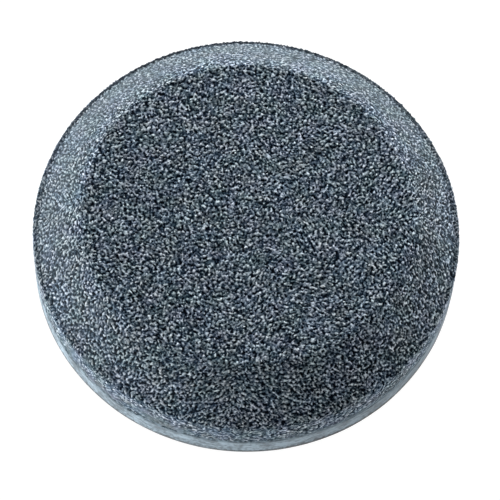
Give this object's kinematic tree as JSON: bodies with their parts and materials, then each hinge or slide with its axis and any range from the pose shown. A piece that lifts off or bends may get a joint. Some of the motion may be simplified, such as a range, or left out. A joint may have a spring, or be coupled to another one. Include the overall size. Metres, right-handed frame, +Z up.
{
  "type": "air stone",
  "caption": "Round disc air stone: porous bevelled grain cap bonded to a dense smooth base, with a barbed air-hose elbow recessed in the underside.",
  "frame": {"origin": "centre of the disc, on the plane that it stands on", "axes": "+Z up along the disc's axis; +Y towards the rim where the air hose leaves"},
  "size_m": [0.1016, 0.1016, 0.0254],
  "materials": {
    "dense_base": "satin",
    "adhesive": "satin",
    "porous_grain": "matte",
    "moulded_plastic": "satin",
    "seal_rubber": "matte"
  },
  "bodies": {
    "root": {"base_disc": "dense_base", "bond_ring": "adhesive", "porous_cap": "porous_grain", "inlet_elbow": "moulded_plastic", "inlet_washer": "seal_rubber", "inlet_nut": "moulded_plastic"}
  },
  "joints": []
}
